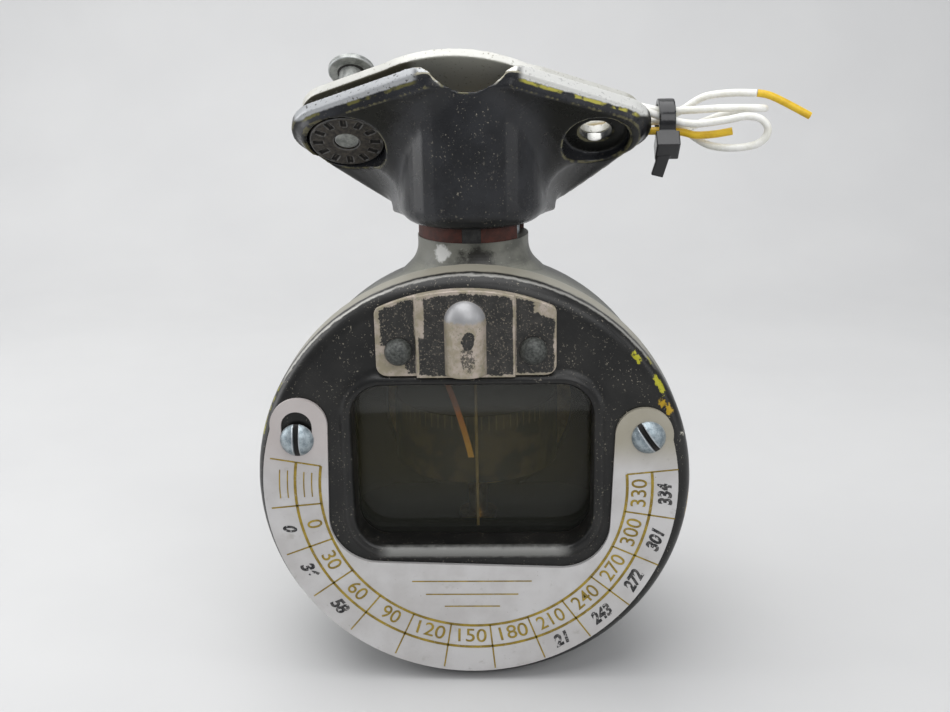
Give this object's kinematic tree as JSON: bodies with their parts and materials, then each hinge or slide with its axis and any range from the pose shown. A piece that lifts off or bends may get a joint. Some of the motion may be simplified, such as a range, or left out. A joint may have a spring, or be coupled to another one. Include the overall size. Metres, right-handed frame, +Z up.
{
  "type": "aircraft compass",
  "caption": "Small panel compass with a recessed lit window and a correction plate, hung by a swivel neck under a sloping post clamp with two ears.",
  "frame": {"origin": "on the vertical swivel axis, where it meets the sloping plane of the post clamp", "axes": "+Z up along the swivel axis, +X to the pilot's right, +Y away from the pilot"},
  "size_m": [0.1081, 0.0608, 0.1211],
  "materials": {
    "bracket_paint": "worn satin paint",
    "black_paint": "worn satin paint",
    "case_paint": "worn matt paint",
    "cover_paint": "chipped paint over bare metal",
    "dome_paint": "worn paint",
    "strap_metal": "weathered",
    "zinc_steel": "dull zinc",
    "nut_steel": "tarnished",
    "magnet_steel": "satin",
    "brass": "satin",
    "red_fibre": "matt fibre",
    "black_rubber": "matt",
    "white_wire": "satin sleeve",
    "yellow_wire": "satin sleeve",
    "tie_nylon": "gloss",
    "glass": "polished",
    "pale_wire": "satin",
    "orange_paint": "satin",
    "plate_metal": "satin, printed",
    "card_black": "matt, with pale marks",
    "jewel": "polished"
  },
  "bodies": {
    "bracket": {"bracket": "bracket_paint", "clamp_cap": "strap_metal", "clamp_screw": "zinc_steel", "clamp_spacer": "zinc_steel", "clamp_nut": "nut_steel", "friction_ring": "red_fibre", "ring_key": "black_paint", "wire_grommet": "black_rubber", "white_hank": "white_wire", "white_lead": "white_wire", "yellow_tail": "yellow_wire", "yellow_lead": "yellow_wire", "cable_tie": "tie_nylon"},
    "case": {"case": "case_paint", "swivel_screw": "brass", "wave_washer": "zinc_steel", "stop_pin": "zinc_steel", "bezel": "black_paint", "window_glass": "glass", "glass_gasket": "black_rubber", "lubber_line": "pale_wire", "pointer_strip": "orange_paint", "correction_plate": "plate_metal", "plate_screws": "zinc_steel", "bezel_screws": "zinc_steel", "lamp_cover": "cover_paint", "cover_screws": "dome_paint", "lamp_bulb": "glass", "lamp_holder": "brass", "lamp_lead": "white_wire", "rear_diaphragm": "brass", "rear_cover": "case_paint", "rear_screws": "zinc_steel", "filler_plug": "brass", "filler_washer": "red_fibre", "pivot_post": "brass", "jewel_cup": "jewel", "compensator_frame": "brass"},
    "card": {"card_dial": "card_black", "card_float": "brass", "card_magnets": "magnet_steel", "pivot_needle": "zinc_steel"},
    "north_adjuster": {"north_adjuster": "brass", "north_adjuster_magnet": "magnet_steel"},
    "north_follower": {"north_follower": "brass", "north_follower_magnet": "magnet_steel"},
    "east_adjuster": {"east_adjuster": "brass", "east_adjuster_magnet": "magnet_steel"},
    "east_follower": {"east_follower": "brass", "east_follower_magnet": "magnet_steel"}
  },
  "joints": [
    {"name": "case_swivel", "type": "hinge", "parent": "bracket", "child": "case", "pos_m": [0, 0, -0.0183], "axis": [0, 0, 1], "range_deg": [-18, 18]},
    {"name": "card_spin", "type": "hinge", "parent": "case", "child": "card", "pos_m": [0, 0, -0.064], "axis": [0, 0, 1], "continuous": true},
    {"name": "north_adjust", "type": "hinge", "parent": "case", "child": "north_adjuster", "pos_m": [-0.003, -0.0084, -0.0929], "axis": [0, 1, 0], "range_deg": [-90, 90]},
    {"name": "north_follow", "type": "hinge", "parent": "case", "child": "north_follower", "pos_m": [0.003, -0.0084, -0.0929], "axis": [0, 1, 0], "range_deg": [-90, 90]},
    {"name": "east_adjust", "type": "hinge", "parent": "case", "child": "east_adjuster", "pos_m": [0.006, 0.0036, -0.0929], "axis": [1, 0, 0], "range_deg": [-90, 90]},
    {"name": "east_follow", "type": "hinge", "parent": "case", "child": "east_follower", "pos_m": [0.006, 0.0096, -0.0929], "axis": [1, 0, 0], "range_deg": [-90, 90]}
  ],
  "couplings": [
    {"joint": "north_follow", "follows": "north_adjust", "ratio": -1},
    {"joint": "east_follow", "follows": "east_adjust", "ratio": -1}
  ]
}
